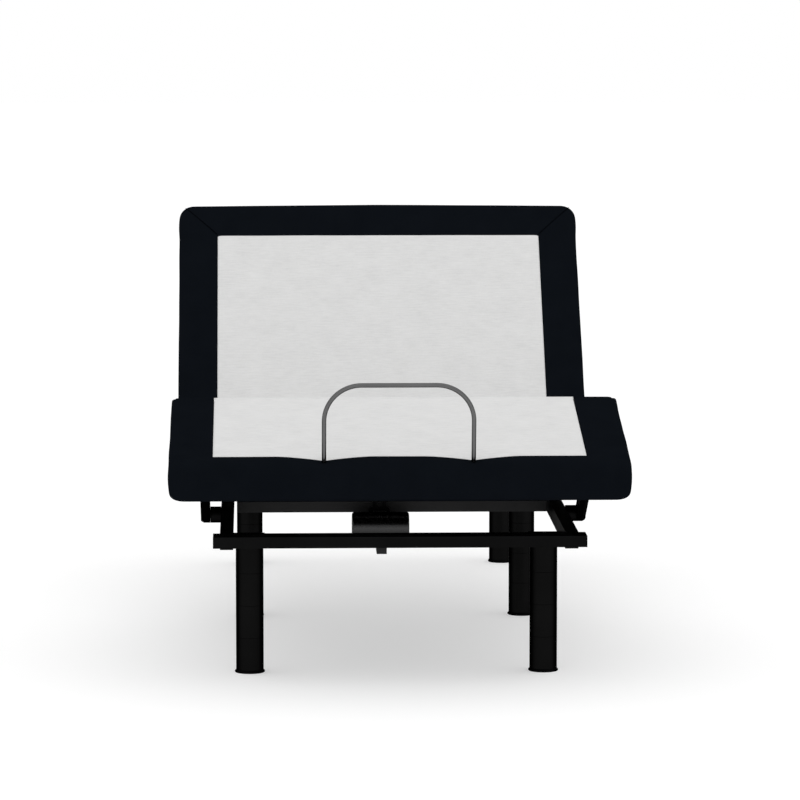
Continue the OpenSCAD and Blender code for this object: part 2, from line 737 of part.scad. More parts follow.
module motor() {
    r = motor_d / 2;
    n = 5;
    color([0.05, 0.05, 0.052]) at(-motor_back, motor_up) rotate([0, 90, 0]) rotate_extrude() {
        translate([0, -motor_len / 2]) square([r - n, motor_len]);
        translate([0, -motor_len / 2 + n]) square([r, motor_len - 2 * n]);
        for (y = [-motor_len / 2 + n, motor_len / 2 - n]) translate([r - n, y]) circle(n);
    }
}
module act_tube() {
    guide = 12;
    color([0.5, 0.5, 0.52]) difference() {
        rod_y(act_tube_d / 2, [18, act_tube_len]);
        rod_y(tube_bore_d / 2, [17, act_tube_len - guide]);
        rod_y(rod_d / 2 + run_fit, [20, act_tube_len + 1]);
    }
}
module screw() { color([0.7, 0.7, 0.72]) rod_y(screw_d / 2, [19, act_tube_len - 10]); }
module push_rod(pin, len) {
    bore = screw_d / 2 + 1;
    color([0.72, 0.72, 0.74]) difference() {
        union() {
            rod_y(rod_d / 2, [pin - len, pin - 4]);
            at(pin, 0) rod_x(eye_r, [-eye_w / 2, eye_w / 2]);
        }
        rod_y(bore, [pin - len - 1, pin - 18]);
        at(pin, 0) rod_x(rod_pin_d / 2 + run_fit, [-eye_w, eye_w]);
    }
}
module nut(pin, len) {
    color([0.7, 0.55, 0.25]) difference() {
        rod_y(tube_bore_d / 2 - 0.5, [pin - len - nut_len, pin - len]);
        rod_y(screw_d / 2 + run_fit, [pin - len - nut_len - 1, pin - len + 1]);
    }
}
module rod_pin(pin) {
    over = crank_gap / 2 + crank_t + part_gap;
    color([0.6, 0.6, 0.62]) at(pin, 0) {
        rod_x(rod_pin_d / 2, [-over - 3, over + 3]);
        for (s = [0, 1]) mirror([s, 0, 0]) rod_x(rod_pin_d / 2 + 5, [over, over + 3]);
    }
}
module head_act() { at_actuator(head_act_x, head_trunnion, head_tilt) children(); }
module foot_act() { at_actuator(foot_act_x, foot_trunnion, foot_tilt) children(); }
module head_gearbox() { head_act() gearbox(); }
module head_motor() { head_act() motor(); }
module head_tube() { head_act() act_tube(); }
module head_screw() { head_act() screw(); }
module head_rod() { head_act() push_rod(head_reach, rod_len); }
module head_nut() { head_act() nut(head_reach, rod_len); }
module head_rod_pin() { head_act() rod_pin(head_reach); }
module foot_gearbox() { foot_act() gearbox(); }
module foot_motor() { foot_act() motor(); }
module foot_tube() { foot_act() act_tube(); }
module foot_screw() { foot_act() screw(); }
module foot_rod() { foot_act() push_rod(foot_reach, rod_len); }
module foot_nut() { foot_act() nut(foot_reach, rod_len); }
module foot_rod_pin() { foot_act() rod_pin(foot_reach); }

front_bar();
rear_bar();
side_rails();
cross_tubes();
leg_plates();
bar_end_caps();
leg_segments();
leg_collars();
leg_glides();
leg_studs();
rest_bumpers();
seat_posts();
seat_board();
seat_border();
seat_pad();
seat_side_tubes();
seat_cross_tubes();
seat_hinge_pins();
head_board();
head_border();
head_pad();
head_side_tubes();
head_cross_tubes();
head_crank();
thigh_board();
thigh_border();
thigh_pad();
thigh_side_tubes();
thigh_cross_tubes();
thigh_crank();
knee_hinge_pins();
calf_board();
calf_border();
calf_pad();
calf_side_tubes();
calf_cross_tubes();
calf_slot_plates();
link_bosses();
link_left();
link_right();
link_pin_left();
link_pin_right();
retainer_bar();
retainer_sockets();
actuator_brackets();
head_gearbox();
head_motor();
head_tube();
head_screw();
head_rod();
head_nut();
head_rod_pin();
foot_gearbox();
foot_motor();
foot_tube();
foot_screw();
foot_rod();
foot_nut();
foot_rod_pin();
control_box();
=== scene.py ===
import json
import math

import bmesh
import bpy
import numpy as np
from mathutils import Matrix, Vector


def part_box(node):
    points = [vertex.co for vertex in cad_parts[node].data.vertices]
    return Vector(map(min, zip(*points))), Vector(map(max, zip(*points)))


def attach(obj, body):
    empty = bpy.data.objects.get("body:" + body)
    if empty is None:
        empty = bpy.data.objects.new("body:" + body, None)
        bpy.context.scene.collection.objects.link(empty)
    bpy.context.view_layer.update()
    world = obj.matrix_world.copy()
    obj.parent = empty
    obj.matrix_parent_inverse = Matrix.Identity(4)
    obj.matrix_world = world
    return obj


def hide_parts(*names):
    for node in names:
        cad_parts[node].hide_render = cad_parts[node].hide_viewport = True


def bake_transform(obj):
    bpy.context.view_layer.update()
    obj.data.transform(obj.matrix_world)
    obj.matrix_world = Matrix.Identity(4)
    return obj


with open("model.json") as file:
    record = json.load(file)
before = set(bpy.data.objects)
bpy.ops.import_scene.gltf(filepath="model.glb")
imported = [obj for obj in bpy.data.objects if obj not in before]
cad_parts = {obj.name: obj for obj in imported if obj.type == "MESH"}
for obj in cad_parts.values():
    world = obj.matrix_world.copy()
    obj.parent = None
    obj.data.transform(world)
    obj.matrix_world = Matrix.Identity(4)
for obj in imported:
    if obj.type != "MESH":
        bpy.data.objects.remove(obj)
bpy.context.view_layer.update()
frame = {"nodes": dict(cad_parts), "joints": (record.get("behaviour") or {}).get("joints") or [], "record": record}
NODES = frame["nodes"]
JOINTS = {j["name"]: j for j in frame["joints"]}

# ---- Sections: each is drawn flat, in millimetres from its hinge, then turned to its angle at rest ----
HEAD_ANGLE = 48.16
THIGH_ANGLE = 22.78
CALF_ANGLE = THIGH_ANGLE * 0.474        # the calf section's own slope, from the knee's coupling
HALF = (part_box("head_border")[1].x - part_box("head_border")[0].x) * 500
PAD_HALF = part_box("head_pad")[1].x * 1000
DECK_T = 80.0           # from the deck's top to the lower edge of the border
PAD_T = 22.0            # foam and cloth above the boards
CORNER_R = 34.0         # corners of the deck, seen from above
EDGE_R = 16.0           # the border's upper edge
SQUARE_EDGE_R = 6.0     # the same edge next to the knee
LOW_EDGE_R = 13.0       # the border's lower edge
TURN_UNDER = 43.5       # how far the border's cloth is turned in under the board
STATION = 9.0           # spacing of the cloth meshes' rows
FOOT_BORDER = 58.0
SIDE_BORDER = HALF - PAD_HALF


def hinge(name):
    return np.array(JOINTS[name]["pos_m"], float) * 1000


def section(name, angle):
    """A function from flat section coordinates in mm to the row frame in metres."""
    at = hinge(name)
    at[0] = 0.0
    c, s = math.cos(math.radians(angle)), math.sin(math.radians(angle))
    turn = np.array([[1, 0, 0], [0, c, -s], [0, s, c]])
    return lambda p: (np.asarray(p, float) @ turn.T + at) / 1000


HEAD = section("head_hinge", HEAD_ANGLE)
THIGH = section("thigh_hinge", -THIGH_ANGLE)
CALF = section("knee_hinge", CALF_ANGLE)
SEAT = section("thigh_hinge", 0)
SEAT_LEN = (JOINTS["head_hinge"]["pos_m"][1] - JOINTS["thigh_hinge"]["pos_m"][1]) * 1000
HEAD_LEN = 700.0
HEAD_BORDER = 102.0
HEAD_FULLNESS = 6.2     # how far the head end's cloth stands past its board
FOOT_SAG = 5.0          # how much deeper the cloth hangs at the foot end
THIGH_LEN = 420.0
CALF_LEN = 488.7
HEAD_GAP, THIGH_GAP, KNEE_GAP = 16.5, 10.0, 8.0     # from each hinge's axis to the cloth beside it
TOP = 36.0              # deck top above the head and thigh hinges
TOP_KNEE = 60.0         # and above the knee hinge
LEG_X = [-3.0 - 158.25, -3.0 + 158.25]              # the retainer bar's two legs
LEG_Y = -CALF_LEN + FOOT_BORDER - 20.0


def mesh_object(name, verts, faces, uvs=None, smooth=True):
    me = bpy.data.meshes.new(name)
    me.from_pydata([tuple(v) for v in verts], [], [tuple(int(i) for i in f) for f in faces])
    if uvs is not None:
        layer = me.uv_layers.new(name="UVMap")
        co = np.array([uvs[lo.vertex_index] for lo in me.loops], np.float32)
        layer.data.foreach_set("uv", co.ravel())
    me.validate()
    bm = bmesh.new()
    bm.from_mesh(me)
    bmesh.ops.remove_doubles(bm, verts=bm.verts, dist=0.00002)
    bmesh.ops.recalc_face_normals(bm, faces=bm.faces)
    bm.to_mesh(me)
    bm.free()
    for p in me.polygons:
        p.use_smooth = smooth
    ob = bpy.data.objects.new(name, me)
    bpy.context.scene.collection.objects.link(ob)
    return ob


# ---- Materials ----
def new_material(name):
    m = bpy.data.materials.new(name)
    m.use_nodes = True
    nt = m.node_tree
    nt.nodes.clear()
    out = nt.nodes.new("ShaderNodeOutputMaterial")
    b = nt.nodes.new("ShaderNodeBsdfPrincipled")
    nt.links.new(b.outputs[0], out.inputs[0])
    return m, nt, b


def mapped(nt, source, scale, rotation=(0, 0, 0)):
    tc = nt.nodes.new("ShaderNodeTexCoord")
    mp = nt.nodes.new("ShaderNodeMapping")
    mp.inputs["Scale"].default_value = scale
    mp.inputs["Rotation"].default_value = rotation
    nt.links.new(tc.outputs[source], mp.inputs["Vector"])
    return mp.outputs["Vector"]


def noise(nt, vector, scale, detail=3.0, rough=0.5):
    n = nt.nodes.new("ShaderNodeTexNoise")
    n.inputs["Scale"].default_value = scale
    n.inputs["Detail"].default_value = detail
    n.inputs["Roughness"].default_value = rough
    nt.links.new(vector, n.inputs["Vector"])
    return n.outputs["Fac"]


def ramp(nt, fac, stops):
    r = nt.nodes.new("ShaderNodeValToRGB")
    while len(r.color_ramp.elements) < len(stops):
        r.color_ramp.elements.new(0.5)
    for e, (p, c) in zip(r.color_ramp.elements, stops):
        e.position = p
        e.color = (*c, 1) if len(c) == 3 else c
    nt.links.new(fac, r.inputs["Fac"])
    return r.outputs["Color"]


def math_node(nt, op, a, b=None):
    """A maths node; a and b are numbers or sockets."""
    n = nt.nodes.new("ShaderNodeMath")
    n.operation = op
    for i, v in enumerate((a, b)):
        if v is None:
            continue
        if isinstance(v, (int, float)):
            n.inputs[i].default_value = v
        else:
            nt.links.new(v, n.inputs[i])
    return n.outputs[0]


def bump(nt, b, height, strength, distance):
    n = nt.nodes.new("ShaderNodeBump")
    n.inputs["Strength"].default_value = strength
    n.inputs["Distance"].default_value = distance
    nt.links.new(height, n.inputs["Height"])
    nt.links.new(n.outputs[0], b.inputs["Normal"])


def threads(nt, uv, pitch):
    """Height of a plain weave with that thread pitch, in metres of UV."""
    sep = nt.nodes.new("ShaderNodeSeparateXYZ")
    nt.links.new(uv, sep.inputs[0])
    k = math.pi / pitch
    u = math_node(nt, "SINE", math_node(nt, "MULTIPLY", sep.outputs[0], k))
    v = math_node(nt, "SINE", math_node(nt, "MULTIPLY", sep.outputs[1], k))
    over = math_node(nt, "MULTIPLY", u, v)
    au = math_node(nt, "ABSOLUTE", u)
    av = math_node(nt, "ABSOLUTE", v)
    crowns = math_node(nt, "MULTIPLY", math_node(nt, "ADD", au, av), 0.5)
    return math_node(nt, "ADD", math_node(nt, "MULTIPLY", over, 0.35), crowns)


def cloth_light():
    m, nt, b = new_material("pad_cloth")
    uv = mapped(nt, "UV", (1, 1, 1))
    slub = noise(nt, mapped(nt, "UV", (34, 240, 1)), 1.0, 4.0, 0.6)
    fine = noise(nt, mapped(nt, "UV", (190, 700, 1)), 1.0, 2.0, 0.6)
    warp = noise(nt, mapped(nt, "UV", (520, 60, 1)), 1.0, 2.0, 0.6)
    patch = noise(nt, mapped(nt, "UV", (14, 18, 1)), 1.0, 4.0, 0.65)
    tone = math_node(nt, "ADD", math_node(nt, "MULTIPLY", slub, 0.42), math_node(nt, "MULTIPLY", fine, 0.2))
    tone = math_node(nt, "ADD", tone, math_node(nt, "MULTIPLY", warp, 0.1))
    tone = math_node(nt, "ADD", tone, math_node(nt, "MULTIPLY", patch, 0.28))
    stops = [(0.3, (0.585, 0.585, 0.583)), (0.5, (0.665, 0.665, 0.662)), (0.72, (0.735, 0.735, 0.732))]
    nt.links.new(ramp(nt, tone, stops), b.inputs["Base Color"])
    b.inputs["Roughness"].default_value = 0.92
    b.inputs["Specular IOR Level"].default_value = 0.1
    b.inputs["Sheen Weight"].default_value = 0.03
    b.inputs["Sheen Roughness"].default_value = 0.5
    h = math_node(nt, "ADD", threads(nt, uv, 0.0011), math_node(nt, "MULTIPLY", slub, 0.9))
    bump(nt, b, h, 0.35, 0.0004)
    return m


def cloth_dark():
    m, nt, b = new_material("border_cloth")
    uv = mapped(nt, "UV", (1, 1, 1))
    patch = noise(nt, mapped(nt, "UV", (11, 11, 1)), 1.0, 5.0, 0.6)
    fine = noise(nt, mapped(nt, "UV", (420, 420, 1)), 1.0, 2.0, 0.6)
    tone = math_node(nt, "ADD", math_node(nt, "MULTIPLY", patch, 0.55), math_node(nt, "MULTIPLY", fine, 0.45))
    stops = [(0.3, (0.0034, 0.0044, 0.0062)), (0.5, (0.0042, 0.0054, 0.0075)), (0.7, (0.0050, 0.0064, 0.0088))]
    nt.links.new(ramp(nt, tone, stops), b.inputs["Base Color"])
    b.inputs["Roughness"].default_value = 0.88
    b.inputs["Specular IOR Level"].default_value = 0.0
    b.inputs["Sheen Weight"].default_value = 0.001
    b.inputs["Sheen Roughness"].default_value = 0.4
    h = math_node(nt, "ADD", threads(nt, uv, 0.0009), math_node(nt, "MULTIPLY", fine, 0.6))
    bump(nt, b, h, 0.4, 0.0003)
    return m


def coated(name, low, high, rough, grain=420.0, bump_strength=0.04):
    """A dark satin coat. Its reflection dies away towards the edges, so that black stays black in a white room."""
    m, nt, b = new_material(name)
    ob = mapped(nt, "Object", (1, 1, 1))
    big = noise(nt, ob, 9.0, 4.0, 0.55)
    fine = noise(nt, ob, grain, 2.0, 0.5)
    tone = math_node(nt, "ADD", math_node(nt, "MULTIPLY", big, 0.7), math_node(nt, "MULTIPLY", fine, 0.3))
    nt.links.new(ramp(nt, tone, [(0.35, low), (0.65, high)]), b.inputs["Base Color"])
    nt.links.new(math_node(nt, "ADD", math_node(nt, "MULTIPLY", fine, 0.1), rough - 0.05), b.inputs["Roughness"])
    b.inputs["Metallic"].default_value = 1.0
    b.inputs["Specular Tint"].default_value = (0.0, 0.0, 0.0, 1)
    bump(nt, b, fine, bump_strength, 0.0002)
    return m


def metal(name, low, high, rough, brush=(1, 1, 1)):
    """Bare metal with streaks along its brushing."""
    m, nt, b = new_material(name)
    streak = noise(nt, mapped(nt, "Object", brush), 60.0, 4.0, 0.6)
    nt.links.new(ramp(nt, streak, [(0.3, low), (0.7, high)]), b.inputs["Base Color"])
    nt.links.new(math_node(nt, "ADD", math_node(nt, "MULTIPLY", streak, 0.16), rough - 0.08), b.inputs["Roughness"])
    b.inputs["Metallic"].default_value = 1.0
    bump(nt, b, streak, 0.08, 0.0002)
    return m


LIGHT = cloth_light()
SEAM = coated("seam_thread", (0.0016, 0.0020, 0.0028), (0.0024, 0.0030, 0.0040),
              0.8, grain=600.0, bump_strength=0.3)
DARK = cloth_dark()
FRAME_PAINT = coated("frame_paint", (0.0050, 0.0050, 0.0051), (0.0066, 0.0066, 0.0067), 0.42)
TUBE_PAINT = coated("cross_tube_paint", (0.021, 0.021, 0.0213), (0.026, 0.026, 0.0263), 0.5)
LEG_PAINT = coated("leg_paint", (0.0054, 0.0054, 0.0054), (0.0070, 0.0070, 0.0070), 0.38)
STEEL_PAINT = coated("deck_steel_paint", (0.0050, 0.0050, 0.0052), (0.0085, 0.0085, 0.0087), 0.45)
PLASTIC = coated("black_plastic", (0.0045, 0.0045, 0.0046), (0.0062, 0.0062, 0.0064),
                 0.55, grain=900.0, bump_strength=0.1)
GEAR_PLASTIC = coated("grey_plastic", (0.024, 0.024, 0.0245), (0.031, 0.031, 0.0315),
                      0.5, grain=900.0, bump_strength=0.1)
GLOSS = coated("motor_gloss", (0.046, 0.046, 0.0464), (0.052, 0.052, 0.0524),
               0.26, grain=240.0, bump_strength=0.0)
ZINC = metal("zinc", (0.42, 0.42, 0.43), (0.60, 0.60, 0.61), 0.34)
ROD = metal("ground_steel", (0.50, 0.50, 0.51), (0.64, 0.64, 0.65), 0.2, brush=(40, 1, 40))
ALU = metal("drawn_aluminium", (0.46, 0.46, 0.47), (0.60, 0.60, 0.61), 0.36, brush=(60, 1, 60))
BRASS = metal("nut_bronze", (0.46, 0.30, 0.11), (0.60, 0.42, 0.17), 0.32)
RETAINER = coated("retainer_steel", (0.115, 0.115, 0.116), (0.135, 0.135, 0.136),
                  0.2, grain=300.0, bump_strength=0.0)
WOOD = coated("black_board", (0.0040, 0.0040, 0.0041), (0.0070, 0.0068, 0.0064),
              0.6, grain=120.0, bump_strength=0.15)
RUBBER = coated("bumper_rubber", (0.008, 0.008, 0.008), (0.013, 0.013, 0.013),
                0.75, grain=700.0, bump_strength=0.2)

BY_SLOT = {
    "frame_coat": FRAME_PAINT, "cross_tube_coat": TUBE_PAINT, "deck_steel_coat": STEEL_PAINT, "cap_plastic": PLASTIC,
    "leg_coat": LEG_PAINT, "zinc_steel": ZINC, "bumper_rubber": RUBBER, "plywood": WOOD, "border_fabric": DARK,
    "pad_fabric": LIGHT, "retainer_coat": RETAINER, "gearbox_plastic": GEAR_PLASTIC, "motor_plastic": GLOSS,
    "tube_aluminium": ALU, "rod_steel": ROD, "nut_brass": BRASS}
for sub in frame["record"]["subparts"]:
    ob = NODES[sub["node"]]
    ob.data.materials.clear()
    ob.data.materials.append(BY_SLOT[sub["material_slot"]])


# ---- Upholstery ----
def dimple(x, y):
    """How far the cloth is drawn down by the two legs of the retainer bar: (depth, forward shift)."""
    x, y = np.asarray(x, float), np.asarray(y, float)
    f = np.zeros(np.broadcast(x, y).shape)
    for lx in LEG_X:
        a = np.clip(1 - np.abs(x - lx) / 100.0, 0, 1)
        f = np.maximum(f, a ** 1.45)
    near = np.exp(-(((y - LEG_Y - 8) / 62.0) ** 2))
    pit = sum(np.exp(-(((x - lx) ** 2 + (y - LEG_Y) ** 2) / 12.0 ** 2)) for lx in LEG_X)
    return 7.0 * f * near + 4.2 * pit, 13.0 * f * np.exp(-(((y - LEG_Y - 14) / 48.0) ** 2))


def soft_noise(x, y, seed, size):
    """Smooth, seeded unevenness between -1 and 1."""
    rng = np.random.default_rng(seed)
    total = np.zeros(np.broadcast(x, y).shape)
    for k in range(7):
        a = rng.uniform(0, 2 * math.pi)
        w = size * rng.uniform(0.6, 1.7)
        total = total + np.sin((x * math.cos(a) + y * math.sin(a)) / w * 2 * math.pi + rng.uniform(0, 6.28))
    return total / 7


TOP_PUFF, SIDE_PUFF = 1.6, 1.8      # fullness of the border's top and outer faces


def border_profile(width, edge_r=EDGE_R):
    """The border's section as a closed loop of (inward distance, height from the deck's top), and lengths along it."""
    pts = [(width, -PAD_T + 0.2), (width, -9), (width, -4.2), (width - 0.8, -1.8), (width - 3, -0.6)]
    n = 11
    for i in range(1, n):
        t = i / n
        d = width - 3 - t * (width - 3 - edge_r)
        pts.append((d, TOP_PUFF * math.sin(math.pi * t) ** 0.8 - 0.6 * (1 - t)))
    for i in range(0, 7):
        a = math.pi / 2 * i / 6
        pts.append((edge_r - edge_r * math.sin(a), -edge_r + edge_r * math.cos(a)))
    low_r = LOW_EDGE_R
    n = 7
    for i in range(1, n):
        t = i / n
        z = -edge_r - t * (DECK_T - edge_r - low_r)
        pts.append((-SIDE_PUFF * math.sin(math.pi * t), z))
    for i in range(0, 6):
        a = math.pi / 2 * i / 5
        pts.append((low_r - low_r * math.cos(a), -DECK_T + low_r - low_r * math.sin(a)))
    # turned in under the board's timber, and back up its inner side to the pad
    pts += [(16.5, -DECK_T + 0.3), (18.9, -DECK_T + 2.0), (19.1, -72.0), (21.0, -71.2), (34.0, -71.0),
            (43.0, -70.9), (43.4, -70.5), (43.0, -70.15), (34, -70.15), (21, -70.15), (19.1, -69.4),
            (19.1, -50.0), (19.1, -PAD_T - 3.0), (19.4, -PAD_T - 0.6), (24, -PAD_T + 0.2),
            (40, -PAD_T + 0.2), (60, -PAD_T + 0.2), (80, -PAD_T + 0.2)]
    p = np.array(pts, float)
    step = np.hypot(*np.diff(p, axis=0).T)
    return p, np.concatenate([[0], np.cumsum(step)])


def end_drop(u, r):
    """How far a rounded end has dropped at a distance u from it."""
    u = np.clip(u, 0, r)
    return r - np.sqrt(np.maximum(r * r - (r - u) ** 2, 0))


def end_stations(length, r):
    """Rows along a strip of that length, closer together at its two rounded ends."""
    a = [0, 0.03 * r, 0.12 * r, 0.3 * r, 0.6 * r, r]
    n = max(2, int((length - 2 * r) / STATION))
    mid = [r + (length - 2 * r) * i / n for i in range(1, n)]
    return np.array(a + mid + [length - v for v in reversed(a)])


def strip_border(name, place, top, y0, y1, r, seed):
    """Two straight side borders, from y0 to y1."""
    made = []
    for side in (-1, 1):
        prof, run = border_profile(SIDE_BORDER)
        st = end_stations(y1 - y0, r)
        verts, uvs = [], []
        m = len(prof)
        for u in st:
            drop = end_drop(min(u, y1 - y0 - u), r)
            for (d, z), s in zip(prof, run):
                y = y0 + u
                shrink = 1 - 1.6 * drop / DECK_T
                zz = -DECK_T / 2 + (z + DECK_T / 2) * shrink
                outer = max(0.0, 1 - max(d, 0) / 60.0)
                dd = d + drop * 0.35 * outer
                zz += 0.5 * float(soft_noise(d, y, seed, 150)) * (1 if z > -5 else 0)
                dd += 0.8 * float(soft_noise(z, y, seed + 1, 170)) * outer * (1 if z < -8 and d < 10 else 0)
                verts.append((side * (HALF - dd), y, top + zz))
                uvs.append((s / 1000, y / 1000))
        faces = []
        k = len(st)
        for i in range(k - 1):
            for j in range(m):
                a, b2 = i * m + j, i * m + (j + 1) % m
                faces.append((a, b2, b2 + m, a + m))
        faces.append(tuple(range(m))[::-1])
        faces.append(tuple((k - 1) * m + j for j in range(m)))
        ob = mesh_object(f"{name}_{'left' if side < 0 else 'right'}", place(verts), faces, uvs)
        made.append(ob)
    return made


def u_border(name, place, top, y_hinge, y_end, end_width, r, seed, bow, foot=False):
    """A border round three sides, open at the hinge, with mitred seams at its two corners."""
    out = 1 if y_end > y_hinge else -1
    length = abs(y_end - y_hinge)
    prof_s, run = border_profile(SIDE_BORDER)
    square = border_profile(SIDE_BORDER, edge_r=SQUARE_EDGE_R)[0]
    prof_e = prof_s.copy()
    wide = prof_s[:, 0] > TURN_UNDER
    inward = prof_s[wide, 0] - TURN_UNDER
    prof_e[wide, 0] = TURN_UNDER + inward * (end_width - TURN_UNDER) / (SIDE_BORDER - TURN_UNDER)
    edge = [0, 0.03 * r, 0.12 * r, 0.3 * r, 0.6 * r, r]
    straight = length - CORNER_R
    n = int((straight - r) / STATION)
    side_st = edge + [r + (straight - r) * i / n for i in range(1, n + 1)]
    path = []   # (kind, value, cloth length)
    for u in side_st:
        path.append(("side", -1, u, u))
    arc = math.pi / 2 * CORNER_R
    for i in range(1, 9):
        path.append(("arc", -1, i / 8, straight + arc * i / 8))
    w = HALF - CORNER_R
    n = int(2 * w / 10.0)
    for i in range(1, n + 1):
        path.append(("end", 0, -w + 2 * w * i / n, straight + arc + 2 * w * i / n))
    for i in range(1, 8):
        path.append(("arc", 1, 1 - i / 8, straight + 2 * w + arc + arc * i / 8))
    for u in reversed(side_st):
        path.append(("side", 1, u, 2 * straight + 2 * w + 2 * arc - u))
    verts, uvs = [], []
    m = len(prof_s)
    for kind, side, val, cloth in path:
        for j in range(m):
            ds, z = prof_s[j]
            if foot and kind == "side":   # the long edges are squarer next to the knee
                f = min(1.0, val / 130.0)
                ds, z = prof_s[j] * f + square[j] * (1 - f)
            de = prof_e[j][0]
            drop = 0.0
            if kind == "side":
                x, v = side * (HALF - ds), val
                if ds > CORNER_R and val > length - de:   # past the mitre line
                    v = length - de
                drop = end_drop(val, r)
            elif kind == "arc":
                a = math.pi / 2 * val
                if ds <= CORNER_R:
                    x = side * (HALF - CORNER_R + (CORNER_R - ds) * math.cos(a))
                    v = length - CORNER_R + (CORNER_R - ds) * math.sin(a)
                else:
                    x, v = side * (HALF - ds), length - de
            else:
                lim = HALF - ds
                x = val
                if ds > CORNER_R:
                    x = max(-lim, min(lim, val))
                v = length - de
            outer = max(0.0, 1 - max(ds, 0) / 60.0)
            deep = z
            if foot and z < -PAD_T:
                deep = z * (1 + FOOT_SAG / DECK_T * min(1.0, max(0.0, v / length)) ** 0.7)
            zz = -DECK_T / 2 + (deep + DECK_T / 2) * (1 - 1.6 * drop / DECK_T)
            # the long edges pull in a little between the corners
            if bow:
                near = min(1.0, max(0.0, (v - length + 160) / 160))
                w = min(1.0, max(0.0, (v - length + end_width) / end_width))
                x += math.copysign(2.0 * math.exp(-(((length - v - 45) / 26.0) ** 2)) * outer, x)
                v += near * (w * (1.6 + 4.8 * (1 - (abs(x) / HALF) ** 1.15)) + (1 - w) * bow)
            if foot and x > 0:
                x += 2.4 * (1 - min(1.0, v / length) ** 3) * outer
            y = y_hinge + out * v
            if foot:
                dz, dy = dimple(x, y)
                reach_z = math.exp(-((max(0.0, -z) / 55.0) ** 2))
                zz -= float(dz) * reach_z
                if z > -12:
                    y -= float(dy) * math.exp(-((ds - end_width) / 40.0) ** 2 if ds > 15 else -99)
                if ds < 20 and kind == "end":   # a faint crease below each leg
                    across = max(math.exp(-((x - lx) / 7.0) ** 2) for lx in LEG_X)
                    y += 1.1 * (across * math.exp(-((z + 30) / 30.0) ** 2))
            zz += 0.6 * float(soft_noise(x, y, seed, 170)) * (1 if z > -5 and ds < SIDE_BORDER - 4 else 0)
            if outer > 0 and -70 < z < -8 and ds < 12:
                push = 0.9 * float(soft_noise(x + z * 0.7, y + z, seed + 2, 190))
                if kind == "side":
                    x += side * push
                elif kind == "end":
                    y += out * push
            verts.append((x, y, top + zz))
            uvs.append((run[j] / 1000, cloth / 1000))
    faces = []
    k = len(path)
    for i in range(k - 1):
        for j in range(m):
            a, b2 = i * m + j, i * m + (j + 1) % m
            faces.append((a, b2, b2 + m, a + m))
    faces.append(tuple(range(m))[::-1])
    faces.append(tuple((k - 1) * m + j for j in range(m)))
    return mesh_object(name, place(verts), faces, uvs)


def pad(name, place, top, x_half, y0, y1, r0, r1, seed, crown=2.2, foot=False):
    """A foam pad under light cloth, crowned, its edges drawn down into the seam. r0 and r1 round its two ends."""
    def stations(a, b):
        n = max(4, int(abs(b - a) / STATION))
        s = [0, 0.5, 1.6, 3.4, 6.0, 10.0]
        span = abs(b - a)
        mid = list(np.linspace(15, span - 15, n))
        return np.array([*s, *mid, *[span - v for v in reversed(s)]]) / span

    gx, gy = np.meshgrid(-x_half + 2 * x_half * stations(-x_half, x_half), y0 + (y1 - y0) * stations(y0, y1))
    ux = np.minimum(gx + x_half, x_half - gx)
    u0, u1 = np.abs(gy - y0), np.abs(y1 - gy)
    arch_x = np.clip(np.sin(math.pi * np.clip((gx + x_half) / (2 * x_half), 0, 1)), 0, 1) ** 0.35
    arch_y = np.clip(np.sin(math.pi * np.clip(u0 / abs(y1 - y0), 0, 1)), 0, 1) ** 0.35
    z = crown * arch_x * arch_y
    z -= 2.6 * np.exp(-ux / 2.6)
    for u, r in ((u0, r0), (u1, r1)):
        z -= end_drop(u, r) if r > 4 else 2.6 * np.exp(-u / 2.6)
    z += 0.45 * soft_noise(gx, gy, seed, 210) * np.clip(ux / 30, 0, 1)
    yy = gy.copy()
    if foot:
        dz, dy = dimple(gx, gy)
        z -= dz
        yy -= dy * np.exp(-(u1 / 60.0) ** 2)
    ny, nx = gx.shape
    low = -PAD_T + 0.6
    tops = np.stack([gx, yy, top + z], -1).reshape(-1, 3)
    bottoms = np.stack([gx, yy, np.full_like(gx, top + low)], -1).reshape(-1, 3)
    verts = np.concatenate([tops, bottoms])
    uvs = np.concatenate([np.stack([gx, gy], -1).reshape(-1, 2)] * 2) / 1000
    faces = []
    N = nx * ny
    for j in range(ny - 1):
        for i in range(nx - 1):
            a = j * nx + i
            faces.append((a, a + 1, a + 1 + nx, a + nx))
            faces.append((N + a, N + a + nx, N + a + 1 + nx, N + a + 1))
    for i in range(nx - 1):
        faces.append((i, N + i, N + i + 1, i + 1))
        b2 = (ny - 1) * nx + i
        faces.append((b2, b2 + 1, N + b2 + 1, N + b2))
    for j in range(ny - 1):
        a = j * nx
        faces.append((a, a + nx, N + a + nx, N + a))
        b2 = j * nx + nx - 1
        faces.append((b2, N + b2, N + b2 + nx, b2 + nx))
    return mesh_object(name, place(verts), faces, uvs)


def subdivide(ob):
    m = ob.modifiers.new("Subdivision", "SUBSURF")
    m.levels = m.render_levels = 1


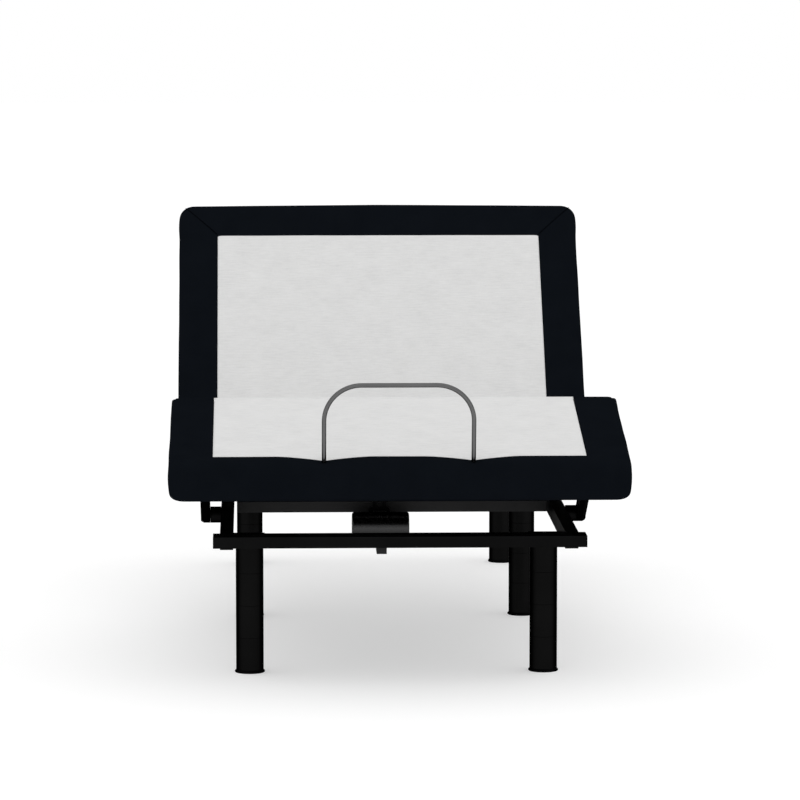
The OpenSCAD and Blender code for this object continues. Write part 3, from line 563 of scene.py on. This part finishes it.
head_border = u_border("head_border_cloth", HEAD, TOP, HEAD_GAP, HEAD_LEN, HEAD_BORDER, 15, 11, HEAD_FULLNESS)
calf_border = u_border("calf_border_cloth", CALF, TOP_KNEE, -KNEE_GAP, -CALF_LEN, FOOT_BORDER, 5, 23, 0.0, foot=True)
seat_borders = strip_border("seat_border_cloth", SEAT, TOP, THIGH_GAP, SEAT_LEN - HEAD_GAP, 13, 31)
thigh_borders = strip_border("thigh_border_cloth", THIGH, TOP, -THIGH_LEN + KNEE_GAP, -THIGH_GAP, 7, 41)
head_pad = pad("head_pad_cloth", HEAD, TOP, PAD_HALF, HEAD_GAP,
               HEAD_LEN - HEAD_BORDER - 0.4 + HEAD_FULLNESS, 7.5, 0, 51)
calf_pad = pad("calf_pad_cloth", CALF, TOP_KNEE, PAD_HALF, -KNEE_GAP,
               -CALF_LEN + FOOT_BORDER + 0.4, 7.5, 0, 61, foot=True)
seat_pad = pad("seat_pad_cloth", SEAT, TOP, PAD_HALF, THIGH_GAP, SEAT_LEN - HEAD_GAP, 7.5, 7.5, 71)
thigh_pad = pad("thigh_pad_cloth", THIGH, TOP, PAD_HALF, -THIGH_LEN + KNEE_GAP, -THIGH_GAP, 7.5, 7.5, 81)
for ob, body, cad, mat, slot in (
    (head_border, "head_section", ("head_border",), DARK, "border_fabric"),
    (calf_border, "calf_section", ("calf_border",), DARK, "border_fabric"),
    (seat_borders[0], "frame", ("seat_border",), DARK, "border_fabric"),
    (seat_borders[1], "frame", ("seat_border",), DARK, "border_fabric"),
    (thigh_borders[0], "thigh_section", ("thigh_border",), DARK, "border_fabric"),
    (thigh_borders[1], "thigh_section", ("thigh_border",), DARK, "border_fabric"),
    (head_pad, "head_section", ("head_pad",), LIGHT, "pad_fabric"),
    (calf_pad, "calf_section", ("calf_pad",), LIGHT, "pad_fabric"),
    (seat_pad, "frame", ("seat_pad",), LIGHT, "pad_fabric"),
    (thigh_pad, "thigh_section", ("thigh_pad",), LIGHT, "pad_fabric"),
):
    ob.data.materials.append(mat)
    subdivide(ob)
    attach(ob, body)
    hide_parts(*cad)


# ---- Seams and fixings ----
def cord_mesh(name, points, radius, place, mat, sides=8):
    """A thin round thread along points given in a section's flat coordinates."""
    pts = [Vector(p) for p in place(points)]
    verts, faces, uvs = [], [], []
    for i, p in enumerate(pts):
        d = (pts[min(i + 1, len(pts) - 1)] - pts[max(i - 1, 0)]).normalized()
        u = d.cross(Vector((0.3, 0.2, 1))).normalized()
        w = d.cross(u)
        for k in range(sides):
            a = 2 * math.pi * k / sides
            verts.append(p + (u * math.cos(a) + w * math.sin(a)) * radius / 1000)
            uvs.append((k * 0.001, i * 0.004))
    for i in range(len(pts) - 1):
        for k in range(sides):
            a, b2 = i * sides + k, i * sides + (k + 1) % sides
            faces.append((a, b2, b2 + sides, a + sides))
    faces.append(tuple(range(sides)))
    faces.append(tuple((len(pts) - 1) * sides + k for k in range(sides))[::-1])
    ob = mesh_object(name, verts, faces, uvs)
    ob.data.materials.append(mat)
    return ob


def hex_heads(name, places, body, mat, r, h):
    """Hexagon bolt heads with washers, each at a point in millimetres of the row frame and facing along an axis."""
    verts, faces = [], []
    for p, n in places:
        q = Vector((0, 0, 1)).rotation_difference(Vector(n).normalized())
        for rad, z0, z1, sides in ((r * 1.45, 0.0, 1.2, 24), (r, 1.2, 1.2 + h, 6), (r * 0.86, 1.2 + h, 1.7 + h, 6)):
            base = len(verts)
            for z in (z0, z1):
                for k in range(sides):
                    a = 2 * math.pi * k / sides
                    verts.append((Vector(p) + q @ Vector((rad * math.cos(a), rad * math.sin(a), z))) / 1000)
            for k in range(sides):
                k1 = (k + 1) % sides
                faces.append((base + k, base + k1, base + sides + k1, base + sides + k))
            faces.append(tuple(base + k for k in range(sides))[::-1])
            faces.append(tuple(base + sides + k for k in range(sides)))
    ob = mesh_object(name, verts, faces, smooth=False)
    ob.data.materials.append(mat)
    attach(ob, body)
    return ob


SEAM_ROWS = 14
SEAM_END = 13.5         # the seam stops this far short of the corner's two sides
for side in (-1, 1):
    inner = (PAD_HALF + 1.5, HEAD_LEN - HEAD_BORDER + HEAD_FULLNESS + 1.5)
    outer = (HALF - SEAM_END, HEAD_LEN + 2.5 - SEAM_END)
    line = []
    for i in range(SEAM_ROWS + 1):
        t = i / SEAM_ROWS
        lift = TOP_PUFF * math.sin(math.pi * min(1, 0.08 + 0.92 * t)) ** 0.8
        fall = -0.9 * max(0.0, (t - 0.9) / 0.1) ** 2
        line.append((side * (inner[0] + (outer[0] - inner[0]) * t), inner[1] + (outer[1] - inner[1]) * t,
                     TOP + lift + fall + 0.25))
    seam = cord_mesh(f"head_mitre_seam_{'left' if side < 0 else 'right'}", line, 0.8, HEAD, SEAM)
    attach(seam, "head_section")

# two bolts at each end of the straps that join the front cross tube to the rails
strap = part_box("cross_tubes")[1]
front_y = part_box("front_bar")[0].y * 1000
STRAP_X, STRAP_Y = (337.0, 361.0), (602.0, 622.0)
heads = [((s * x, front_y + y, strap.z * 1000), (0, 0, 1)) for s in (-1, 1) for x in STRAP_X for y in STRAP_Y]
hex_heads("strap_bolts", heads, "frame", ZINC, r=5.0, h=1.0)


# ---- Cloth that crosses the hinges ----
def swept(name, axis, a0, a1, profile, ext, steps, mat):
    """A closed cloth piece: its section (x, distance from the hinge) is swept over the hinge from a0 to a1 degrees."""
    def point(x, r, k):
        if k == 0 or k == steps + 2:
            a, t = (a0, -ext) if k == 0 else (a1, ext)
        else:
            a, t = a0 + (a1 - a0) * (k - 1) / steps, 0.0
        mid = (a0 + a1) / 2
        r *= math.cos(math.radians((a1 - a0) / 2)) / math.cos(math.radians(a - mid))
        c, q = math.cos(math.radians(a)), math.sin(math.radians(a))
        return (x, axis[1] + t * c + r * q, axis[2] + r * c - t * q)
    m, k_all = len(profile), steps + 3
    verts = np.array([point(x, r, k) for k in range(k_all) for x, r in profile]) / 1000
    run = np.concatenate([[0], np.cumsum(np.hypot(*np.diff(np.array(profile), axis=0).T))])
    uvs = [(run[j] / 1000, k * 0.006) for k in range(k_all) for j in range(m)]
    faces = [(k * m + j, k * m + (j + 1) % m, (k + 1) * m + (j + 1) % m, (k + 1) * m + j)
             for k in range(k_all - 1) for j in range(m)]
    faces.append(tuple(range(m))[::-1])
    faces.append(tuple((k_all - 1) * m + j for j in range(m)))
    ob = mesh_object(name, verts, faces, uvs)
    ob.data.materials.append(mat)
    return ob


def crossing(ob):
    """Bakes the piece's placement into its mesh."""
    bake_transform(ob)


KNEE = hinge("knee_hinge")
LEAN_CALF, LEAN_THIGH = -CALF_ANGLE, THIGH_ANGLE    # the two top planes' normals, from upright towards the head
COVER_R = 59.3                                      # the knee covers' top, from the knee's axis
PAD_EDGE, BORDER_EDGE = 396.5, 397.5                # where the light cover ends and the dark ones begin
COVER_SIDE = 484.0                                  # the dark covers' outer faces
OVERLAP = 18                                        # how far a cover runs on along each section
ARC_ROWS = 12


def strip_profile(x0, x1, r, thick):
    n = max(2, int(abs(x1 - x0) / 12))
    top = [(x0 + (x1 - x0) * i / n, r) for i in range(n + 1)]
    return top + [(x, r - thick) for x, _ in reversed(top)]


knee_light = swept("knee_cover_light", KNEE, LEAN_CALF, LEAN_THIGH,
                   strip_profile(-PAD_EDGE, PAD_EDGE, COVER_R, 1.6), OVERLAP, ARC_ROWS, LIGHT)
crossing(knee_light)
for side in (-1, 1):
    outer = [(BORDER_EDGE, COVER_R), (425, COVER_R + 0.1), (450, COVER_R), (473, COVER_R - 0.1), (480, 58.4),
             (483.3, 55.0), (COVER_SIDE, 49.0), (COVER_SIDE, 38), (COVER_SIDE, 24), (COVER_SIDE, 9)]
    inner = [(COVER_SIDE - 2, 9), (COVER_SIDE - 2, 24), (COVER_SIDE - 2, 38), (COVER_SIDE - 2, 48.5), (481.4, 54.0),
             (479, 56.6), (473, 57.5), (450, 57.6), (425, 57.7), (BORDER_EDGE, 57.6)]
    ob = swept(f"knee_cover_{'left' if side < 0 else 'right'}", KNEE, LEAN_CALF, LEAN_THIGH,
               [(side * x, r) for x, r in outer + inner], OVERLAP, ARC_ROWS, DARK)
    crossing(ob)


BOARD_TOP = 14.2        # the boards' top above the head and thigh hinges
TAPE_HALF = 470.0
TAPE_LAP = 12


def hinge_tape(name, axis, a0, a1, gap):
    """A cloth tape on the boards across a hinge whose sections fold towards each other."""
    r = BOARD_TOP
    inner = r * math.tan(math.radians((a1 - a0) / -2))

    def at(a, t, h):
        c, q = math.cos(math.radians(a)), math.sin(math.radians(a))
        return (axis[1] + t * c + h * q, axis[2] + h * c - t * q)

    line = [(a0, -gap - TAPE_LAP), (a0, -gap), (a0, -inner - 0.6), (a1, inner + 0.6), (a1, gap), (a1, gap + TAPE_LAP)]
    xs = np.linspace(-TAPE_HALF, TAPE_HALF, 40)
    verts, uvs = [], []
    for i, (a, t) in enumerate(line):
        for h in (r, r - 1.0):
            y, z = at(a, t, h)
            for x in xs:
                verts.append((x / 1000, y / 1000, z / 1000))
                uvs.append((x / 1000, i * 0.01))
    n = len(xs)
    faces = []
    for i in range(len(line) - 1):
        top0, low0, top1, low1 = (2 * i * n + k * n for k in range(4))
        for j in range(n - 1):
            faces.append((top0 + j, top0 + j + 1, top1 + j + 1, top1 + j))
            faces.append((low0 + j, low1 + j, low1 + j + 1, low0 + j + 1))
        for j in (0, n - 1):
            faces.append((top0 + j, top1 + j, low1 + j, low0 + j))
    for i in (0, len(line) - 1):
        top0, low0 = 2 * i * n, (2 * i + 1) * n
        for j in range(n - 1):
            faces.append((top0 + j, low0 + j, low0 + j + 1, top0 + j + 1))
    ob = mesh_object(name, verts, faces, uvs)
    ob.data.materials.append(DARK)
    crossing(ob)


hinge_tape("head_hinge_tape", hinge("head_hinge"), 0.0, -HEAD_ANGLE, HEAD_GAP)
hinge_tape("thigh_hinge_tape", hinge("thigh_hinge"), THIGH_ANGLE, 0.0, THIGH_GAP)

# ---- Stage, light and camera ----
bpy.ops.mesh.primitive_plane_add(size=60, location=(0, 0, 0))
floor = bpy.context.object
floor.name = "floor"
fm, _, fb = new_material("floor_pale")
fb.inputs["Base Color"].default_value = (0.60, 0.60, 0.60, 1)
fb.inputs["Emission Color"].default_value = (1, 1, 1, 1)
fb.inputs["Emission Strength"].default_value = 0.44
fb.inputs["Roughness"].default_value = 0.9
fb.inputs["Specular IOR Level"].default_value = 0.1
floor.data.materials.append(fm)

world = bpy.data.worlds.new("studio")
bpy.context.scene.world = world
world.use_nodes = True
world.node_tree.nodes["Background"].inputs["Color"].default_value = (1, 1, 1, 1)
world.node_tree.nodes["Background"].inputs["Strength"].default_value = 1.0


def area(name, loc, target, size, power):
    ld = bpy.data.lights.new(name, "AREA")
    ld.shape = "RECTANGLE"
    ld.size, ld.size_y = size
    ld.energy = power
    ob = bpy.data.objects.new(name, ld)
    bpy.context.scene.collection.objects.link(ob)
    ob.location = loc
    ob.rotation_mode = "QUATERNION"
    ob.rotation_quaternion = (Vector(target) - Vector(loc)).to_track_quat("-Z", "Y")


area("top_soft", (0.3, -0.6, 4.6), (0, 0, 0.3), (5, 5), 20)
area("front_soft", (-2.2, -6.0, 3.2), (0, 0, 0.4), (4, 3), 8)

scene = bpy.context.scene
scene.view_settings.view_transform = "Standard"
scene.view_settings.look = "None"
cam_data = bpy.data.cameras.new("camera")
cam_data.lens = 202.5
cam_data.sensor_width = 36
cam_data.clip_end = 100
cam = bpy.data.objects.new("camera", cam_data)
scene.collection.objects.link(cam)
yaw, pitch = math.radians(1.8778), math.radians(6.078)
look = Vector((math.sin(yaw) * math.cos(pitch), math.cos(yaw) * math.cos(pitch), -math.sin(pitch)))
cam.location = (-0.31002, -10.39364, 1.62409)
cam.rotation_mode = "QUATERNION"
cam.rotation_quaternion = look.to_track_quat("-Z", "Y")
scene.camera = cam

bpy.context.view_layer.update()
